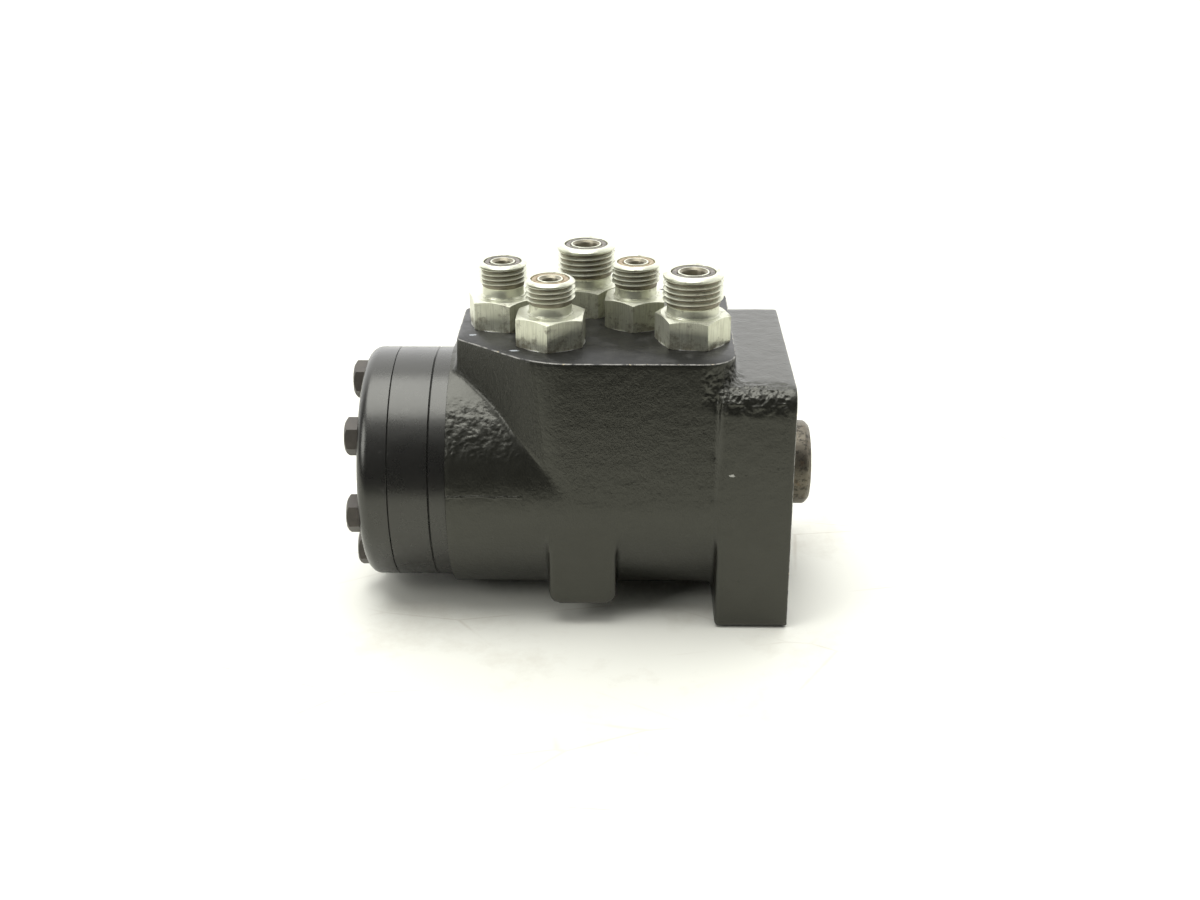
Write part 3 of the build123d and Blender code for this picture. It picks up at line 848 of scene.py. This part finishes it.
def addHousing():
    blanks = [addFlangeBlank(), addBarrelBlank(), addBossBlank(), addLugBlank()]
    body = joinAll(blanks, "housingCasting")
    addModifier(body, "REMESH", mode="VOXEL", voxel_size=casting["voxel"] * mm)
    addModifier(body, "SMOOTH", factor=0.5, iterations=casting["softness"])
    roughen(body, anywhere, size=2.6, height=0.16, level=0.8)
    refine(body, roughPatch)
    refine(body, lumpyEdge)
    roughen(body, roughPatch, size=2.2, height=0.55, level=0.5)
    roughen(body, roughPatch, size=1.0, height=0.2, level=0.5)
    roughen(body, lumpyEdge, size=1.8, height=0.9, level=0.75)
    roughen(body, lumpyEdge, size=0.9, height=0.3, level=0.6)
    addModifier(body, "SMOOTH", factor=0.5, iterations=casting["finishing"])
    top = casting["boss"]["top"]
    rear = casting["barrel"]["rear"]
    cutPlane(body, (0, 0, 0), (1, 0, 0))
    cutPlane(body, (rear, 0, 0), (-1, 0, 0))
    cutPlane(body, (0, 0, top), (0, 0, 1))

    def machined(face):
        middle = face.calc_center_median() / mm
        flat = max(abs(face.normal.x), face.normal.z) > 0.999
        atEnd = middle.x > -0.01 or middle.x < rear + 0.01
        return flat and (middle.z > top - 0.01 or atEnd)

    def machinedEdge(edge):
        if len(edge.link_faces) != 2:
            return False
        first, second = (machined(face) for face in edge.link_faces)
        return first != second

    dress(body, castBlack, machinedTop, wornEdge)
    machinedSlot, wornSlot = 1, 2
    chooseEdges(body, machinedEdge)
    bpy.ops.mesh.bevel(
        offset=casting["wornEdge"] * mm, segments=1, affect="EDGES", material=wornSlot
    )
    leave()
    markFaces(body, lambda face: machined(face) and face.material_index != wornSlot, machinedSlot)
    combine(body, addCutters(), "DIFFERENCE")
    smooth(body, 40)
    fit(body, "housing", "cast_black", "housing")
    print("housing", len(body.data.polygons))


adapters = {
    "leftSmall": {
        "node": "adapter_left_small", "place": (-84.2, 1.5), "turn": 13, "size": "small",
    },
    "frontSmall": {
        "node": "adapter_front_small", "place": (-69.4, -15.6), "turn": -3, "size": "small",
    },
    "backLarge": {
        "node": "adapter_back_large", "place": (-60, 14.6), "turn": 20, "size": "large",
    },
    "middleSmall": {
        "node": "adapter_middle_small", "place": (-45, 1.3), "turn": -5, "size": "sensing",
    },
    "frontLarge": {
        "node": "adapter_front_large", "place": (-28.7, -13.8), "turn": 21.5, "size": "large",
    },
}
adapterSizes = {
    "small": {
        "flats": 19.05, "hex": 8.8, "neck": 6.1, "neckHeight": 3.1, "thread": 7.145,
        "threadHeight": 6.9, "pitch": 1.411, "rim": 0.8, "bore": 2.2, "groove": 4.62,
        "stud": 6.5, "studLength": 9.9,
    },
    "large": {
        "flats": 19.05, "hex": 8.3, "neck": 7.5, "neckHeight": 2.9, "thread": 8.73,
        "threadHeight": 9.2, "pitch": 1.588, "rim": 1.2, "bore": 3.3, "groove": 5.5,
        "stud": 6.5, "studLength": 9.9,
    },
}
adapterSizes["sensing"] = adapterSizes["small"] | {"flats": 17.46, "stud": 5.1, "studLength": 9.2}
adapterTrim = {
    "flatShare": 0.97,  # of the width across flats that stays flat on top
    "hexSlope": 24,
    "grooveHalf": 0.98,
    "grooveDepth": 1.3,
    "sealRadius": 0.9,
    "sealDrop": 0.92,  # middle of the seal below the face
    "sealStained": ("frontSmall", "middleSmall"),
}
threadShape = {"depth": 0.85, "crest": 0.22, "foot": 1.2, "steps": 64, "start": 70}


def addThread(size, floor, ceiling):  # one closed ridge wound up round Z
    depth, crest, foot = threadShape["depth"], threadShape["crest"] / 2, threadShape["foot"] / 2
    tip, core = size["thread"], size["thread"] - depth
    rise = ceiling - floor - foot
    turns = rise / size["pitch"]
    section = [(core - 0.3, -foot), (core, -foot), (tip - 0.1, -crest), (tip, -crest / 2)]
    section += [(r, -z) for r, z in reversed(section)] + section[:1]
    ridge = addProfile("threadRidge", [(r, z + floor + foot) for r, z in section])
    weld(ridge)
    steps = int(threadShape["steps"] * turns)
    addModifier(
        ridge, "SCREW", axis="Z", angle=2 * pi * turns, screw_offset=rise * mm,
        iterations=1, steps=steps, render_steps=steps,
    )
    weld(ridge)
    middle = (floor + ceiling) / 2 * mm
    for lower in (True, False):
        chooseEdges(ridge, lambda e: e.is_boundary and (e.verts[0].co.z < middle) == lower)
        bpy.ops.mesh.edge_face_add()
        leave()
    faceOut(ridge)
    turnBy(ridge, 0, 0, threadShape["start"])  # the lower end of the ridge faces away
    return ridge


def addHexagon(name, across, height, middle):
    deselectAll()
    bpy.ops.mesh.primitive_cylinder_add(
        vertices=6, radius=across / sqrt(3) * mm, depth=height * mm, location=middle
    )
    return newest(name)


def adapterProfile(size, hexTop, neckTop, face):  # radius and height, from the stud's end
    half = adapterTrim["grooveHalf"]  # of the seal's groove
    stud, neck, tip = size["stud"], size["neck"], size["thread"]
    bore, groove, low = size["bore"], size["groove"], -size["studLength"]
    core = tip - threadShape["depth"]
    rim = face - size["rim"]
    grooveFloor = face - adapterTrim["grooveDepth"]
    stem = [
        (bore, low), (stud - 0.8, low), (stud, low + 0.8), (stud, hexTop / 2),
        (neck + 0.6, hexTop / 2), (neck + 0.6, hexTop - 0.1), (neck + 0.45, hexTop + 0.22),
        (neck + 0.1, hexTop + 0.3), (neck, hexTop + 0.55), (neck, neckTop - 0.35),
        (neck + 0.12, neckTop - 0.1), (core, neckTop + 0.35), (core, rim - 0.45),
    ]
    end = [
        (tip - 0.1, rim), (tip, rim + 0.08), (tip, face - 0.72), (tip - 0.12, face - 0.55),
        (tip - 0.8, face - 0.1), (tip - 1.0, face), (groove + half + 0.04, face),
        (groove + half, face - 0.1), (groove + half, grooveFloor),
        (groove - half, grooveFloor), (groove - half, face - 0.12), (groove - 1.05, face),
        (groove - 1.4, face), (bore + 0.2, face - 0.6), (bore, face - 1.1), (bore, low),
    ]
    return stem + end


def addAdapter(name, adapter):
    size = adapterSizes[adapter["size"]]
    x, y = adapter["place"]
    base = casting["boss"]["top"]
    hexTop = size["hex"]
    neckTop = hexTop + size["neckHeight"]
    face = neckTop + size["threadHeight"]
    corner = size["flats"] / sqrt(3)
    flat = size["flats"] / 2 * adapterTrim["flatShare"]
    slope = (corner - flat) * tan(radians(adapterTrim["hexSlope"]))
    hexagon = addHexagon("fitting_" + name, size["flats"], hexTop, (0, 0, hexTop / 2 * mm))
    turnBy(hexagon, 0, 0, adapter["turn"] - 180)
    cone = [(0, 0), (corner - 0.4, 0), (corner, 0.25)]
    cone += [(corner, hexTop - slope), (flat, hexTop), (0, hexTop)]
    combine(hexagon, addTurned("cone", cone), "INTERSECT")
    body = adapterProfile(size, hexTop, neckTop, face)
    combine(hexagon, addTurned("body", body, steps=72), "UNION")
    combine(hexagon, addThread(size, neckTop + 0.1, face - 0.5), "UNION")
    moveTo(hexagon, (x, y, base))
    faceOut(hexagon)
    # the second finish is painted shade, put on the faces that shaded() picks
    dress(hexagon, zincPlate, zincPaintedShade)
    core = size["thread"] - threadShape["depth"]
    floor, ceiling = (base + neckTop) * mm, (base + face - size["rim"]) * mm

    def shaded(part):  # painted shade: thread valleys with the flanks over them, and the bore
        middle = part.calc_center_median()
        out = hypot(middle.x - x * mm, middle.y - y * mm) / mm
        onThread = floor < middle.z < ceiling and out > size["bore"] + 2
        inValley = out < core + 0.03 or part.normal.z < -0.3
        return onThread and inValley or out < size["groove"] - 1.42

    markFaces(hexagon, shaded, 1)
    smooth(hexagon, 22)
    fit(hexagon, "housing", "zinc_plate", adapter["node"])
    return face


def addSealRing(adapter, face):
    deselectAll()
    x, y = adapter["place"]
    level = casting["boss"]["top"] + face - adapterTrim["sealDrop"]
    bpy.ops.mesh.primitive_torus_add(
        major_radius=adapterSizes[adapter["size"]]["groove"] * mm,
        minor_radius=adapterTrim["sealRadius"] * mm, major_segments=64,
        minor_segments=16, location=Vector((x, y, level)) * mm,
    )
    ring = newest("ring")
    settle(ring)
    smooth(ring, 60)
    return ring


def addPortRim(adapter):  # bare edge left round a port where it was faced off
    radius = adapterSizes[adapter["size"]]["flats"] / sqrt(3) * 0.9
    steps = [(radius - 0.5, -0.2), (radius - 0.4, 0.08), (radius, 0.08), (radius + 0.1, -0.2)]
    x, y = adapter["place"]
    return addTurned("rim", steps + steps[:1], (x, y, casting["boss"]["top"]))


def addAdapters():
    rims = joinAll([addPortRim(adapter) for adapter in adapters.values()], "portRims")
    dress(rims, brightSteel)
    smooth(rims)
    fit(rims, "housing", "bright_steel")
    rings = {"clean": [], "stained": []}
    for name, adapter in adapters.items():
        face = addAdapter(name, adapter)
        kind = "stained" if name in adapterTrim["sealStained"] else "clean"
        rings[kind].append(addSealRing(adapter, face))
    for kind, finish in (("clean", dustAndSheenRubber), ("stained", stainedRubber)):
        ring = joinAll(rings[kind], "faceSeals_" + kind)
        dress(ring, finish)
        fit(ring, "housing", "seal_rubber", "face_seal_rings")
    print("adapters", len(adapters))


cover = {"radius": 35, "front": -116.6, "back": -125.6, "rim": 3.4, "lead": 0.15}
coverBolt = {
    "circle": 26.6, "count": 7, "flats": 10, "height": 4, "turn": 12, "shank": 3, "length": 37.1,
}


def addCover():
    radius, rim, lead = cover["radius"], cover["rim"], cover["lead"]
    front, back = cover["front"], cover["back"]
    points = [(0, front), (radius - lead, front), (radius, front - lead), (radius, back + rim)]
    steps = 8
    for i in range(1, steps + 1):
        t = i / steps * pi / 2
        points.append((radius - rim + rim * cos(t), back + rim - rim * sin(t)))
    points.append((0, back))
    disc = addTurned("endCover", points, lying=True, steps=160)
    dress(disc, turnedBlack)
    smooth(disc, 30)
    fit(disc, "housing", "machined_black", "end_cover")


def addCoverBolts():
    half, flat = coverBolt["height"] / 2, coverBolt["flats"] / 2
    corner = coverBolt["flats"] / sqrt(3)
    cone = [(0, -half), (flat - 0.5, -half), (flat - 0.1, -half + 0.25)]
    cone += [(corner, -half + 0.85), (corner, half), (0, half)]
    bolts = []
    for i in range(coverBolt["count"]):
        head = addHexagon("bolt", coverBolt["flats"], coverBolt["height"], (0, 0, 0))
        turnBy(head, 0, -90, 0)
        turnBy(head, 30 - coverBolt["turn"], 0, 0)
        combine(head, addTurned("cone", cone, lying=True, steps=48), "INTERSECT")
        shank = addRod("shank", coverBolt["shank"], 0, half + coverBolt["length"], 24)
        combine(head, shank, "UNION")
        angle = pi / 2 + 2 * pi * i / coverBolt["count"]
        circle = coverBolt["circle"]
        moveTo(head, (cover["back"] - half, circle * cos(angle), circle * sin(angle)))
        bolts.append(head)
    group = joinAll(bolts, "coverBolts")
    faceOut(group)
    dress(group, darkBolt)
    smooth(group, 28)
    fit(group, "housing", "black_bolt", "cover_bolts")


stub = {"beyond": 6, "outside": 11, "bevel": 0.55}  # mm


def addStub():
    copy = frame["nodes"]["spool"].copy()
    copy.data = copy.data.copy()
    bpy.context.collection.objects.link(copy)
    pick(copy)
    copy = newest("stubSpool")
    faceOut(copy)

    def rim(edge):
        first, second = (vert.co / mm for vert in edge.verts)
        out = min(hypot(first.y, first.z), hypot(second.y, second.z))
        atEnd = min(first.x, second.x) > stub["beyond"] and abs(first.x - second.x) < 0.01
        return atEnd and out > stub["outside"]

    bevelEdges(copy, rim, stub["bevel"], 3)
    dress(copy, oiledSteel)
    smooth(copy)
    fit(copy, "spool", "oiled_steel", "spool")


wiperProfile = [  # radius, and place along X
    (12.9, -4.4), (16.4, -4.4), (16.4, -0.6), (16.1, -0.3), (14.6, -0.3), (14.3, 0.1),
    (13.9, 0.75), (13.5, 1.0), (13.15, 0.95), (12.9, 0.5), (13.3, -0.6), (12.9, -4.4),
]


def addWiper():
    wiper = addTurned("wiperSeal", wiperProfile, lying=True, steps=128)
    dress(wiper, sealRubber)
    smooth(wiper, 50)
    fit(wiper, "housing", "seal_rubber", "dust_seal")


addHousing()
addAdapters()
addCover()
addCoverBolts()
addStub()
addWiper()
print("pieces made")
